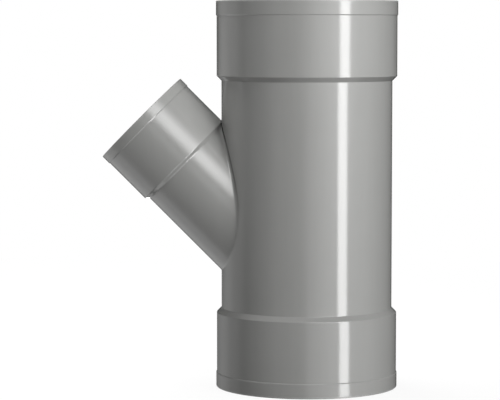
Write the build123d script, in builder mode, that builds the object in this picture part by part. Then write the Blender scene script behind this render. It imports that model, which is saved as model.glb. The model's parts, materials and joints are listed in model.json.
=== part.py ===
from build123d import *
import math
import os

# A 45 degree lateral wye fitting for drain pipe, moulded in one piece. A straight run has a pipe
# socket at each end, and a smaller branch leaves it at an angle and ends in a socket of its own.
# Each socket is a little wider than the tube behind it, steps down to it over a cone-shaped
# shoulder, and has a flat stop inside for the pipe's end. A low raised band runs round each mouth.
#
# The origin is the centre of the run's lower mouth, whose rim the fitting stands on. +Z points up
# along the run's axis, and the branch leans towards -X in the XZ plane.

# Pipes that the sockets take, by outside diameter. The fitting's own tubes are as wide as they are.
run_pipe_d = 125.0
branch_pipe_d = 75.0
socket_clearance = 0.15

# Walls
run_wall = 3.3
run_socket_wall = 3.35
branch_wall = 2.5
branch_socket_wall = 2.35

# Run. The straights are what shows of its tube below and above the branch. The stop cover is how
# far a socket goes on past its stop at full width.
lower_straight = 27.3
upper_straight = 29.4
run_socket_depth = 53.0
run_stop_cover = 1.7

# Branch. Its shoulder starts in the crotch between the two tubes, and the crotch cover is how far
# along the branch it starts inside the wall of the run.
branch_angle = 45.0
crotch_cover = 0.6
branch_socket_depth = 42.0
branch_stop_cover = 1.7

# Shoulders, and the raised bands round the mouths. A band's height takes in the slope by which it
# goes back to the socket.
shoulder_angle = 45.0
run_band_height = 11.0
run_band_rise = 0.5
branch_band_height = 7.5
branch_band_rise = 0.4
band_slope_length = 0.8

# Edges: chamfers outside and inside each rim, and rounded corners elsewhere
rim_chamfer = 0.3
lead_in = 0.8
run_shoulder_round = 0.6
branch_shoulder_round = 1.0
joint_round = 2.0
opening_round = 1.5

# Radii that follow from the pipes and the walls
run_tube_r = run_pipe_d / 2
run_bore_r = run_tube_r - run_wall
run_socket_bore_r = run_tube_r + socket_clearance
run_socket_r = run_socket_bore_r + run_socket_wall
branch_tube_r = branch_pipe_d / 2
branch_bore_r = branch_tube_r - branch_wall
branch_socket_bore_r = branch_tube_r + socket_clearance
branch_socket_r = branch_socket_bore_r + branch_socket_wall

# Where each shoulder starts and ends, as a depth from its mouth
shoulder_slope = math.tan(math.radians(shoulder_angle))
run_shoulder_start = run_socket_depth + run_stop_cover
run_shoulder_end = run_shoulder_start + (run_socket_r - run_tube_r) / shoulder_slope
branch_shoulder_start = branch_socket_depth + branch_stop_cover
branch_shoulder_end = branch_shoulder_start + (branch_socket_r - branch_tube_r) / shoulder_slope

# The lower side of the branch tube meets the wall of the run at the heel, and the outside of the
# branch socket meets it at the crotch. Reach is along the branch's axis, and rise is along the run's,
# both from where the axes cross.
lean = math.radians(branch_angle)
heel_reach = (run_tube_r - branch_tube_r * math.cos(lean)) / math.sin(lean)
heel_rise = heel_reach * math.cos(lean) - branch_tube_r * math.sin(lean)
crotch_reach = (run_tube_r + branch_socket_r * math.cos(lean)) / math.sin(lean)
crotch_rise = crotch_reach * math.cos(lean) + branch_socket_r * math.sin(lean)

# Where the axes cross above the lower mouth, how far the branch's mouth is from there, and the
# length of the run from mouth to mouth
branch_height = run_shoulder_end + lower_straight - heel_rise
branch_reach = crotch_reach - crotch_cover + branch_shoulder_start
run_length = branch_height + crotch_rise + upper_straight + run_shoulder_end

# The branch's axis, from the point where it crosses the run's axis to the middle of its mouth
along_branch = Vector(-math.sin(lean), 0, math.cos(lean))
across_branch = Vector(math.cos(lean), 0, math.sin(lean))
crossing = Vector(0, 0, branch_height)
branch_mouth = crossing + along_branch * branch_reach
branch_axis = Axis(crossing, along_branch)
branch_plane = Plane(crossing, x_dir=across_branch, z_dir=along_branch)

# The half-sections are drawn with x as the radius and y as the depth from the mouth. The upper
# socket mirrors the lower one about the middle of the run.
run_section = Plane.XZ
middle_of_run = Plane.XY.offset(run_length / 2)
branch_section = Plane(branch_mouth, x_dir=across_branch, z_dir=along_branch.cross(across_branch))


def outside_section(
    socket_r, tube_r, band_r, band_height, shoulder_start, shoulder_end, shoulder_round, end
):
    """Half-section of the solid that a socket and the tube behind it fill, from mouth to end."""
    with BuildSketch() as section:
        with BuildLine():
            outline = FilletPolyline(
                (0, 0),
                (band_r - rim_chamfer, 0),
                (band_r, rim_chamfer),
                (band_r, band_height - band_slope_length),
                (socket_r, band_height),
                (socket_r, shoulder_start),
                (tube_r, shoulder_end),
                (tube_r, end),
                (0, end),
                radius=(0, 0, 0, 0, shoulder_round, shoulder_round, 0),
            )
            Line(outline @ 1, outline @ 0)
        make_face()
    return section.sketch


def waterway_section(socket_bore_r, bore_r, depth, end):
    """Half-section of the hollow in a socket and the tube behind it, from mouth to end."""
    with BuildSketch() as section:
        with BuildLine():
            Polyline(
                (0, 0),
                (socket_bore_r + lead_in, 0),
                (socket_bore_r, lead_in),
                (socket_bore_r, depth),
                (bore_r, depth),
                (bore_r, end),
                (0, end),
                close=True,
            )
        make_face()
    return section.sketch


run_outside = outside_section(
    run_socket_r,
    run_tube_r,
    run_socket_r + run_band_rise,
    run_band_height,
    run_shoulder_start,
    run_shoulder_end,
    run_shoulder_round,
    end=run_length / 2,
)
branch_outside = outside_section(
    branch_socket_r,
    branch_tube_r,
    branch_socket_r + branch_band_rise,
    branch_band_height,
    branch_shoulder_start,
    branch_shoulder_end,
    branch_shoulder_round,
    end=branch_shoulder_end + branch_shoulder_round,
)
run_waterway = waterway_section(
    run_socket_bore_r, run_bore_r, run_socket_depth, end=run_length / 2
)
branch_waterway = waterway_section(
    branch_socket_bore_r, branch_bore_r, branch_socket_depth, end=branch_reach
)

with BuildPart() as wye_body:
    # Run, solid: the lower socket with half of the tube, and their mirror image above
    with BuildSketch(run_section):
        add(run_outside)
    revolve(axis=Axis.Z)
    mirror(about=middle_of_run)

    # Branch tube, solid, from the run's axis to halfway up its own socket. Its joint with the run
    # is rounded now, while both are plain cylinders, because the shoulder will cover part of it.
    with BuildSketch(branch_plane):
        Circle(branch_tube_r)
    extrude(amount=branch_reach - branch_socket_depth / 2)
    fillet(wye_body.edges(Select.NEW), joint_round)

    # Branch socket, solid
    with BuildSketch(branch_section):
        add(branch_outside)
    revolve(axis=branch_axis)

    # Waterways, cut last, so that each is one clear bore through all that stands in its way
    with BuildSketch(run_section):
        add(run_waterway)
    lower_waterway = revolve(axis=Axis.Z, mode=Mode.SUBTRACT)
    mirror(lower_waterway, about=middle_of_run, mode=Mode.SUBTRACT)
    with BuildSketch(branch_section):
        add(branch_waterway)
    revolve(axis=branch_axis, mode=Mode.SUBTRACT)

    # Edge inside, where the branch opens into the run
    fillet(wye_body.edges(Select.NEW), opening_round)

wye_body.part.label = "wye_body"

os.makedirs("parts", exist_ok=True)
export_step(wye_body.part, "parts/wye_body.step")
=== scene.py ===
# %% [markdown]
# A grey drain wye on a white studio table
#
# The packed CAD model comes in first and stays as it is: one moulded body, in metres, standing on
# the rim of its lower mouth with Z up. The real wye is one piece of rigid PVC, and all of its form,
# down to the shoulders and the low bands round the mouths, is in the CAD solid already. What is
# left for Blender is the plastic's finish, the studio around it and the camera.

import json
import math

import bpy
from mathutils import Euler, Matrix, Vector

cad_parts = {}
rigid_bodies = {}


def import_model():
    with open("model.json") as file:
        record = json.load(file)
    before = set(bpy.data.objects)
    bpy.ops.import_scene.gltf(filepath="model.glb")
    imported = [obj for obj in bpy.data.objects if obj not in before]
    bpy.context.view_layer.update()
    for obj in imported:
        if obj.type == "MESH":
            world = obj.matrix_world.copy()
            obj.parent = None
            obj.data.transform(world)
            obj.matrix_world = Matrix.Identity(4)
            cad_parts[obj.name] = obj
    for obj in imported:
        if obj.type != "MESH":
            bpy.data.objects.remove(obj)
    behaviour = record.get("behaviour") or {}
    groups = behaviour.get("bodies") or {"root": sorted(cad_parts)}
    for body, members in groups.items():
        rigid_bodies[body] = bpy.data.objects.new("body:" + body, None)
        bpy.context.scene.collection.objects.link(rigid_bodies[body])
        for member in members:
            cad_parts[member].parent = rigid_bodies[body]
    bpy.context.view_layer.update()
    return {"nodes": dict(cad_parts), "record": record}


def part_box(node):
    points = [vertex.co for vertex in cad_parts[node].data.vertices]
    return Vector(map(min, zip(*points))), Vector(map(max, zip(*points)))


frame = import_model()
body_low, body_high = (Vector(corner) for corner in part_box("wye_body"))
print("height of the fitting, mm", round((body_high.z - body_low.z) * 1000, 1))

# %% [markdown]
# Shader maths that reads like Python
#
# A finish is a small calculation for each point of the surface, and Blender writes calculations as
# Math nodes. Dozens of them are hard to read as a list, so a small class wraps one output of a node
# and teaches it the usual signs: `speckle * 0.1 + 1` adds two Math nodes and returns the last one's
# output.

# %% One class for outputs
class Output:
    """An output of a node. Arithmetic on it adds Math nodes to the same tree."""

    def __init__(self, tree, socket):
        self.tree = tree
        self.socket = socket

    def maths(self, operation, *numbers):
        inputs = dict(enumerate(numbers))
        return self.tree.node("ShaderNodeMath", {"operation": operation}, inputs)

    def __add__(self, other):
        return self.maths("ADD", self, other)

    def __radd__(self, other):
        return self.maths("ADD", other, self)

    def __sub__(self, other):
        return self.maths("SUBTRACT", self, other)

    def __rsub__(self, other):
        return self.maths("SUBTRACT", other, self)

    def __mul__(self, other):
        return self.maths("MULTIPLY", self, other)

    def __rmul__(self, other):
        return self.maths("MULTIPLY", other, self)

    def __truediv__(self, other):
        return self.maths("DIVIDE", self, other)

    def __abs__(self):
        return self.maths("ABSOLUTE", self)

    def __gt__(self, other):
        return self.maths("GREATER_THAN", self, other)


print("signs that an output knows: + - * / > and abs")

# %% [markdown]
# Any other node
#
# Every other node comes from one method, `node`. It sets the node's own settings first, because some
# of them change which inputs there are, and a ramp's stops count as a setting too. Then it fills the
# inputs with plain values or with other wrapped outputs. A few nodes are wanted so often that they
# get a short method of their own.

# %% One class for node trees
class Tree:
    """The node tree of a material or a world, emptied and then filled by node()."""

    def __init__(self, owner):
        owner.use_nodes = True
        self.nodes = owner.node_tree.nodes
        self.links = owner.node_tree.links
        self.nodes.clear()

    def node(self, kind, settings=None, inputs=None, output=0):
        made = self.nodes.new(kind)
        for name, value in (settings or {}).items():
            if name == "stops":
                ramp = made.color_ramp
                while len(ramp.elements) < len(value):
                    ramp.elements.new(1.0)
                for element, (place, shade) in zip(ramp.elements, value):
                    element.position = place
                    element.color = (shade, shade, shade, 1.0)
            else:
                setattr(made, name, value)
        for name, value in (inputs or {}).items():
            if isinstance(value, Output):
                self.links.new(value.socket, made.inputs[name])
            else:
                made.inputs[name].default_value = value
        return Output(self, made.outputs[output]) if len(made.outputs) else made

    def all_outputs(self, kind, inputs=None):
        """Every output of a new node, by its place in the list."""
        made = self.node(kind, inputs=inputs).socket.node
        return [Output(self, socket) for socket in made.outputs]

    def vector_maths(self, operation, *vectors, output="Vector"):
        settings = {"operation": operation}
        return self.node("ShaderNodeVectorMath", settings, dict(enumerate(vectors)), output)

    def length(self, vector):
        return self.vector_maths("LENGTH", vector, output="Value")

    def between(self, value, low, high, to_low=0.0, to_high=1.0):
        """Value carried smoothly from the range low to high onto another range, and held there."""
        inputs = {"Value": value, 1: low, 2: high, 3: to_low, 4: to_high}
        return self.node("ShaderNodeMapRange", {"interpolation_type": "SMOOTHSTEP"}, inputs)

    def noise(self, place, scale, detail=2.0, roughness=0.5, distortion=0.0):
        """Cloudy noise from 0 to 1 around 0.5. Scale is in blotches per metre."""
        inputs = {"Vector": place, "Scale": scale, "Detail": detail, "Roughness": roughness}
        inputs["Distortion"] = distortion
        return self.node("ShaderNodeTexNoise", {"noise_dimensions": "3D"}, inputs)


print("methods of a tree:", [name for name in vars(Tree) if not name.startswith("_")])

# %% [markdown]
# The plastic
#
# Grey drain fittings are injection moulded from rigid PVC, and the polished mould leaves a surface
# smooth enough to mirror a lamp as a crisp stripe. A handful of quiet flaws tell the eye that it is
# plastic and not paint, and the next cells add them one by one, together with a line of painted
# shade in the joint.
#
# All of them can be worked out from Object coordinates, which are the CAD model's own metres. A width
# in them is a real width, and nothing stretches where the surface turns, as it would on an unwrapped
# picture. Of a point's three numbers, two are wanted by themselves: how far it lies to the side of
# the plane through both axes, and how high it is.

# %% The plastic's node tree
PVC_GREY = (0.251, 0.252, 0.245)

plastic = bpy.data.materials.new("grey_pvc")
pvc = Tree(plastic)
place = pvc.node("ShaderNodeTexCoord", output="Object")
_, aside, up = pvc.all_outputs("ShaderNodeSeparateXYZ", {0: place})
print("the grey, in linear light:", PVC_GREY)

# %% [markdown]
# Clouds, streaks and specks
#
# The melt never mixes quite evenly. The grey is a little cloudy over a few centimetres, it is drawn
# out in very faint streaks along the flow, and fine specks of pigment show close up. Each is one
# Noise texture. The streaks are a noise whose place is squeezed along the run, so that its blotches
# grow long that way.

# %% Clouds, streaks and specks
CLOUDS_PER_METRE, STREAKS_PER_METRE, SPECKS_PER_METRE = 28.0, 260.0, 2600.0
CLOUD_SHARE, STREAK_SHARE, SPECK_SHARE = 0.06, 0.05, 0.03
DARKEST_SHARE = 0.93
SQUEEZE_ALONG_RUN = (1.0, 1.0, 0.06)

drawn_out = pvc.node("ShaderNodeMapping", inputs={"Vector": place, "Scale": SQUEEZE_ALONG_RUN})
clouds = pvc.noise(place, CLOUDS_PER_METRE, detail=3.0)
streaks = pvc.noise(drawn_out, STREAKS_PER_METRE, detail=4.0, roughness=0.6)
specks = pvc.noise(place, SPECKS_PER_METRE, detail=1.0)
shade = DARKEST_SHARE + CLOUD_SHARE * clouds + STREAK_SHARE * streaks + SPECK_SHARE * specks
print("a cloud is about", round(1000 / CLOUDS_PER_METRE), "mm wide")

# %% [markdown]
# Rubbed rims
#
# Handling rubs the two upright rims to a slightly paler, duller edge. How near a point is to a rim
# follows from its height alone, and a fine noise frays the border of the rubbed strip, which would
# look like a painted ring if it were straight.

# %% Rubbed rims
RUB_WIDTH = 0.0012
RUB_PALER = 0.10
FRAYS_PER_METRE = 420.0

from_rim = up.maths("MINIMUM", up - body_low.z, body_high.z - up)
fraying = pvc.noise(place, FRAYS_PER_METRE, detail=4.0, roughness=0.7)
rubbed = pvc.between(from_rim - fraying * RUB_WIDTH, 0.0, RUB_WIDTH, 1.0, 0.0)
shade = shade + rubbed * RUB_PALER
print("the rims are rubbed over", RUB_WIDTH * 1000, "mm")

# %% [markdown]
# Painted shade in the joint
#
# Where the branch leaves the run, the real moulding has a sharp inner corner. Light hardly gets in,
# and the corner shows as a fine line of shade that is deepest up in the narrow crotch. The CAD solid
# has a small rounding there, so this shade is painted into the colour as a dark line.
#
# The mask of this painted shade is calculated, not drawn. A point lies in the joint if it is next to
# the walls of both tubes, and each wall is a fixed distance from its axis. For the upright run, that
# is the length of the place without its height. For the slanted branch, it is the length of a cross
# product with the axis, and the packed record says where that axis is.

# %% The two tubes
PIPE_CLEARANCE = 0.00015

mounts = {mount["name"]: mount for mount in frame["record"]["mounts"]}
branch_mouth, branch_axis = (mounts["branch_socket"][key] for key in ("pos_m", "axis"))


def tube_radius(socket):
    """A tube is as wide as the pipe that its socket takes with a little clearance."""
    return mounts[socket]["dims"]["r_mm"] / 1000 - PIPE_CLEARANCE


run_r, branch_r = tube_radius("lower_socket"), tube_radius("branch_socket")
print("tubes, mm across:", round(run_r * 2000, 1), round(branch_r * 2000, 1))

# %% The painted shade in the joint
LINE_OFF_BRANCH = 0.0018
LINE_SOLID, LINE_GONE = 0.0004, 0.0012
PAINTED_SHADE_STRENGTH = 0.45
JOINT_SHOWS = 0.12, 0.16
CROTCH_STARTS = 0.174, 0.19

from_run_axis = pvc.vector_maths("MULTIPLY", place, (1.0, 1.0, 0.0))
from_mouth = pvc.vector_maths("SUBTRACT", place, branch_mouth)
from_branch_axis = pvc.vector_maths("CROSS_PRODUCT", from_mouth, branch_axis)
off_run = abs(pvc.length(from_run_axis) - run_r)
off_branch = abs(pvc.length(from_branch_axis) - (branch_r + LINE_OFF_BRANCH))
line = pvc.between(off_run, LINE_SOLID, LINE_GONE, 1.0, 0.0)
line = line * pvc.between(off_branch, LINE_SOLID, LINE_GONE, 1.0, 0.0)
depth = pvc.between(up, *JOINT_SHOWS) + pvc.between(up, *CROTCH_STARTS)
# Painted shade: the colour is darkened along the crease, most in the crotch.
shade = shade * (1 - line * depth * PAINTED_SHADE_STRENGTH)
print("the line is about", 2 * LINE_SOLID * 1000, "mm wide")

# %% [markdown]
# Gloss
#
# The mould is a little duller in some patches than in others, and time on a shelf leaves fine
# hairline scuffs. Both only move the roughness up and down by a few hundredths, which is enough to
# make the edge of a reflection waver. The rubbed rims are clearly duller.

# %% Gloss
LEAST_ROUGH = 0.10
PATCH_ROUGH, HAIR_ROUGH, RUB_ROUGH = 0.04, 0.03, 0.15
PATCHES_PER_METRE, HAIRS_PER_METRE = 45.0, 900.0

patches = pvc.noise(place, PATCHES_PER_METRE, detail=5.0, roughness=0.65)
hairs = pvc.noise(drawn_out, HAIRS_PER_METRE, detail=2.0, distortion=0.6)
roughness = LEAST_ROUGH + PATCH_ROUGH * patches + HAIR_ROUGH * hairs + rubbed * RUB_ROUGH
print("roughness from", LEAST_ROUGH, "up")

# %% [markdown]
# Relief
#
# A slow ripple and a fine orange peel come from the way the plastic shrinks as it cools. A thin
# raised parting line runs where the two halves of the mould met, in the plane through both axes.
# They are a few thousandths of a millimetre high, the line a few hundredths, so they are bump and
# not geometry, and the silhouette stays exactly the CAD solid's.

# %% Relief
PEEL_HEIGHT, RIPPLE_HEIGHT = 0.000003, 0.000004
PEEL_PER_METRE, RIPPLES_PER_METRE = 700.0, 60.0
PARTING_HEIGHT, PARTING_HALF_WIDTH = 0.00004, 0.0005

peel = pvc.noise(place, PEEL_PER_METRE, detail=2.0)
ripple = pvc.noise(place, RIPPLES_PER_METRE, detail=1.0)
parting = pvc.between(abs(aside), 0.0, PARTING_HALF_WIDTH, 1.0, 0.0)
relief = PEEL_HEIGHT * peel + RIPPLE_HEIGHT * ripple + PARTING_HEIGHT * parting
normal = pvc.node("ShaderNodeBump", inputs={"Height": relief, "Distance": 1.0, "Strength": 1.0})
print("the parting line is", PARTING_HEIGHT * 1000, "mm high")

# %% [markdown]
# The finished plastic
#
# One Principled shader takes the three results. What is the same all over, here only how strongly
# the plastic bends light, is set on the shader itself. The material then goes into the slots of the
# CAD body, whose mesh isn't touched.

# %% The finished plastic
PVC_IOR = 1.5

colour = pvc.node("ShaderNodeVectorMath", {"operation": "SCALE"}, {0: PVC_GREY, "Scale": shade})
finish = {"Base Color": colour, "Roughness": roughness, "Normal": normal, "IOR": PVC_IOR}
shader = pvc.node("ShaderNodeBsdfPrincipled", inputs=finish)
pvc.node("ShaderNodeOutputMaterial", inputs={"Surface": shader})
wye_body = frame["nodes"]["wye_body"]
for slot in wye_body.material_slots:
    slot.material = plastic
print("material slots on wye_body:", [slot.material.name for slot in wye_body.material_slots])

# %% [markdown]
# The camera
#
# A product photograph is taken from well back with a long lens, which keeps the two edges of a tube
# nearly parallel. The camera stands straight in front of the flat side of the wye, a little below
# its top, and tips down by a few degrees, so the lower rim shows as a shallow curve and the upper
# rim as an almost straight line. The angles are in radians.

# %% Camera
CAMERA_PLACE = Vector((-0.0016, -1.6404, 0.2603))
CAMERA_DOWN, CAMERA_LEFT = 0.0751, 0.0244
LENS = 161.2
SENSOR = 36.0
SEES_UP_TO = 50.0

camera_data = bpy.data.cameras.new("camera")
camera_data.lens = LENS
camera_data.sensor_width = SENSOR
camera_data.clip_end = SEES_UP_TO
camera = bpy.data.objects.new("camera", camera_data)
camera.location = CAMERA_PLACE
camera.rotation_euler = Euler((math.pi / 2 - CAMERA_DOWN, 0.0, CAMERA_LEFT))
bpy.context.scene.collection.objects.link(camera)
bpy.context.scene.camera = camera
print("camera to fitting, m", round(CAMERA_PLACE.xy.length, 3))

# %% [markdown]
# The room that the plastic mirrors
#
# A glossy tube shows the room that it stands in, squeezed into narrow upright bands. The studio has
# a broad bright panel on the right, a smaller one on the left and dark cloth between them, and
# behind the object is the white backdrop. Boards around the fitting could do that, but they would
# also light it and shade it. The world does it with a calculation on the direction of a mirror ray,
# and leaves the shading to the lamps.
#
# The turn of a ray is the angle between it and the camera's side of the room. It is 0 in front, 180
# degrees straight behind, and negative on the left. Four more numbers, each from 0 to 1, say how far
# a ray is on the right or the left side, and how much it counts as rising or falling.

# %% Where a ray goes
# Ranges of a direction's sideways, upward and downward part, where the whole direction is 1 long.
# Over each range its number grows smoothly from 0 to 1.
RIGHT_SIDE = -0.1, 0.1
RISING = 0.04, 0.2
FALLING = 0.18, 0.35

world = bpy.data.worlds.new("white_room")
room = Tree(world)
towards = room.node("ShaderNodeTexCoord", output="Generated")
x, y, z = room.all_outputs("ShaderNodeSeparateXYZ", {0: towards})
turned = x.maths("SIGN", x) * y.maths("ARCCOSINE", 0 - y) * (180 / math.pi)
on_right = room.between(x, *RIGHT_SIDE)
on_left = 1 - on_right
rising = room.between(z, *RISING)
falling = room.between(0 - z, *FALLING)
print("a ray counts as rising from", round(math.degrees(math.asin(RISING[0]))), "degrees")

# %% [markdown]
# The panels on the walls
#
# A colour ramp says how bright the room is at each turn. The first one is for level rays, which the
# upright run mirrors: the pale side wall and the dim panel on the left, then cloth, then the bright
# panel on the right, which fades towards its far end. The second is for the slanted rays of the
# branch, which fall to a pale wall on the left and rise to a lamp on the right. Rising rays on the
# left meet only dark cloth, and all panels are a little dimmer low down.

# %% Panels
LEVEL_WALLS = [
    (-155, 0.0), (-130, 0.55), (-102, 0.6), (-90, 0.0), (-78, 0.0), (-36, 0.3), (-29, 0.0),
    (-10, 0.0), (15, 1.6), (35, 2.6), (60, 1.9), (105, 0.2), (120, 0.0),
]
SLANTED_WALLS = [
    (-160, 0.0), (-145, 0.8), (-100, 2.1), (-84, 1.0), (-60, 0.4), (-30, 0.0),
    (12, 0.0), (20, 2.2), (29, 6.8), (41, 7.3), (57, 1.4), (75, 0.0),
]
PANEL_FOOT = -0.2, 0.05
AT_FOOT, ABOVE_FOOT = 0.75, 1.1


def walls(stops):
    """How bright the room is at a ray's turn, from stops of turn in degrees and brightness."""
    brightest = max(brightness for _, brightness in stops)
    scaled = [(turn / 360 + 0.5, brightness / brightest) for turn, brightness in stops]
    ramp = room.node("ShaderNodeValToRGB", {"stops": scaled}, {"Fac": turned / 360 + 0.5})
    return ramp * brightest


level_walls, slanted_walls = walls(LEVEL_WALLS), walls(SLANTED_WALLS)
slant = rising * on_right + falling * on_left
panels = level_walls + (slanted_walls - level_walls) * slant
panels = panels * (1 - rising * on_left) * room.between(z, *PANEL_FOOT, AT_FOOT, ABOVE_FOOT)
print("turns with a stop:", len(LEVEL_WALLS), "level and", len(SLANTED_WALLS), "slanted")

# %% [markdown]
# A low board, a stripe behind, ceiling and floor
#
# A low board far round on the left picks out the edge of the lower socket. A tall narrow panel
# straight behind gives the far side a stripe of its own. It stands low, so that hardly any of it
# shows from in front, and views from behind, which look down a little, catch it. The shoulders of the
# sockets mirror what is steep above and below: the ceiling, which is dark, and the floor, which is
# paler on the right.

# %% Low board, rear stripe, ceiling and floor
# The board's turn is in degrees, and the other ranges are parts of a direction, as before.
BOARD_TURN = 108, 125
BOARD_DROP = 0.0, 0.05
BOARD_LEVEL = 0.18
STRIPE_SIDE = 0.1, 0.12
STRIPE_TOP = 0.16, 0.2
STRIPE_FOOT = 0.29, 0.37
STRIPE_LEVEL = 6.0
STEEP = 0.74, 0.88
FLOOR_SPREAD = -0.4, 0.1
FLOOR_ON_LEFT, FLOOR_ON_RIGHT = 0.25, 1.1

board = room.between(0 - turned, *BOARD_TURN) * room.between(0 - z, *BOARD_DROP)
stripe = room.between(abs(x), *STRIPE_SIDE, 1.0, 0.0) * (y > 0)
stripe = stripe * room.between(0 - z, *STRIPE_TOP) * room.between(0 - z, *STRIPE_FOOT, 1.0, 0.0)
panels = panels + board * BOARD_LEVEL + stripe * STRIPE_LEVEL
steep_up, steep_down = room.between(z, *STEEP), room.between(0 - z, *STEEP)
floor = room.between(x, *FLOOR_SPREAD, FLOOR_ON_LEFT, FLOOR_ON_RIGHT)
panels = panels * (1 - steep_up - steep_down) + steep_down * floor
print("the stripe behind is", STRIPE_LEVEL, "times white")

# %% [markdown]
# Who sees what
#
# The Light Path node tells what kind of ray is asking. The camera sees plain white, and so does a
# ray that has passed through something clear. A mirror ray sees the panels. All other rays carry
# light to the surface, and they get a weak even light, so that the lamps do the shading.

# %% Who sees what
EVEN_LIGHT = 0.15

rays = room.node("ShaderNodeLightPath").socket.node.outputs
seen = Output(room, rays["Is Camera Ray"])
mirrored = Output(room, rays["Is Glossy Ray"])
through = Output(room, rays["Is Transmission Ray"])
other = 1 - seen - mirrored - through
brightness = seen + through + mirrored * panels + other * EVEN_LIGHT
light = room.node("ShaderNodeBackground", inputs={"Color": (1, 1, 1, 1), "Strength": brightness})
room.node("ShaderNodeOutputWorld", inputs={"Surface": light})
bpy.context.scene.world = world
print("world nodes:", len(world.node_tree.nodes))

# %% [markdown]
# One function for a soft box
#
# A soft box is an area lamp, placed by its bearing and height as seen from the fitting, in degrees,
# and turned to face it. Blender wants its power, and the function takes the brightness of its face
# instead, which says more: it is what a mirror ray sees, however large the box is. Pi times the area
# times that brightness is the power. No box shows to the camera, and each one either shades the
# plastic or is mirrored by it.

# %% Soft boxes
middle_of_fitting = Vector((0.0, 0.0, (body_low.z + body_high.z) / 2))


def soft_box(name, bearing, height, distance, size, brightness, mirrored=False):
    bearing, height = math.radians(bearing), math.radians(height)
    rightwards = math.cos(height) * math.sin(bearing)
    forwards = math.cos(height) * math.cos(bearing)
    towards = Vector((rightwards, -forwards, math.sin(height)))
    lamp = bpy.data.lights.new(name, "AREA")
    lamp.shape = "RECTANGLE"
    lamp.size, lamp.size_y = size
    lamp.energy = brightness * math.pi * size[0] * size[1]
    holder = bpy.data.objects.new(name, lamp)
    holder.location = middle_of_fitting + towards * distance
    holder.rotation_euler = towards.to_track_quat("Z", "Y").to_euler()
    holder.visible_camera = False
    holder.visible_glossy = mirrored
    holder.visible_diffuse = not mirrored
    bpy.context.scene.collection.objects.link(holder)
    return holder


print("soft boxes face a point", round(middle_of_fitting.z * 1000), "mm above the table")

# %% [markdown]
# The soft boxes
#
# A tall narrow box stands to the right of the camera, and an upright tube shows it as the hard white
# stripe that runs from rim to rim. It is there for the mirror rays alone. The others give the
# shading, and mirror rays don't see them, because the room already holds the panels that the
# plastic mirrors.
#
# The key is a large box well back on the right. A small one close in front, above eye level, lets
# the light fall off from the upper rim to the lower one. A weak one fills in the left. One high up
# behind the branch reaches the run over the crotch, where the branch shades what lies below it, and
# the last lights the far side.

# %% The lamps: bearing, height, distance, size and brightness
lamps = [
    soft_box("stripe_box", 48.4, 0.0, 3.0, (0.69, 3.2), 11.7, mirrored=True),
    soft_box("key_box", 50.0, 10.0, 2.5, (1.2, 1.2), 13.4),
    soft_box("front_box", 25.0, 32.0, 0.6, (0.35, 0.35), 4.3),
    soft_box("left_box", -75.0, 10.0, 0.9, (0.5, 0.5), 2.8),
    soft_box("high_box", -130.0, 65.0, 0.9, (0.5, 0.5), 10.0),
    soft_box("rear_box", -160.0, 10.0, 1.5, (0.8, 0.8), 7.0),
]
print("lamps:", [holder.name for holder in lamps])

# %% [markdown]
# The table's finish
#
# The background of the photograph is plain white with no edge, so the table fades into the white of
# the room. To the camera it is mostly white by itself, with a share of real shading left in it near
# the fitting, which is what shows the soft shadow at the rim. All other rays meet a darker board, so
# that only a little light comes up from below, and the undersides stay dark.

# %% The table's finish
PALE_BOARD, DARK_BOARD = 0.9, 0.15
WHITE_SHARE_NEAR = 0.89
FADE_START, FADE_END = 0.25, 0.95


def pale_table():
    material = bpy.data.materials.new("pale_table")
    tree = Tree(material)
    away = tree.length(tree.node("ShaderNodeTexCoord", output="Object"))
    seen = tree.node("ShaderNodeLightPath", output="Is Camera Ray")
    white_share = tree.between(away, FADE_START, FADE_END, WHITE_SHARE_NEAR, 1.0)
    pale = DARK_BOARD + seen * (PALE_BOARD - DARK_BOARD)
    board = tree.node("ShaderNodeBsdfDiffuse", inputs={"Color": pale})
    white = tree.node("ShaderNodeEmission", inputs={"Color": (1, 1, 1, 1), "Strength": 1.0})
    surface = tree.node("ShaderNodeMixShader", inputs={0: white_share * seen, 1: board, 2: white})
    tree.node("ShaderNodeOutputMaterial", inputs={"Surface": surface})
    return material


print("the table is plain white from", FADE_END, "m out")

# %% [markdown]
# The table
#
# The top is a wide flat disc at the height of the lower rim, so large that its edge lies in the
# white. Mirror rays pass through it to the room, whose floor they see instead.

# %% Table
TABLE_RADIUS = 6.0

bpy.ops.object.select_all(action="DESELECT")
bpy.ops.mesh.primitive_circle_add(vertices=96, radius=TABLE_RADIUS, fill_type="NGON")
table = bpy.context.object
table.name = "table"
table.data.materials.append(pale_table())
table.visible_glossy = False
print("table at height", table.location.z)

# %% [markdown]
# Colour handling
#
# The Standard view keeps a colour as it was written.

bpy.context.scene.view_settings.view_transform = "Standard"
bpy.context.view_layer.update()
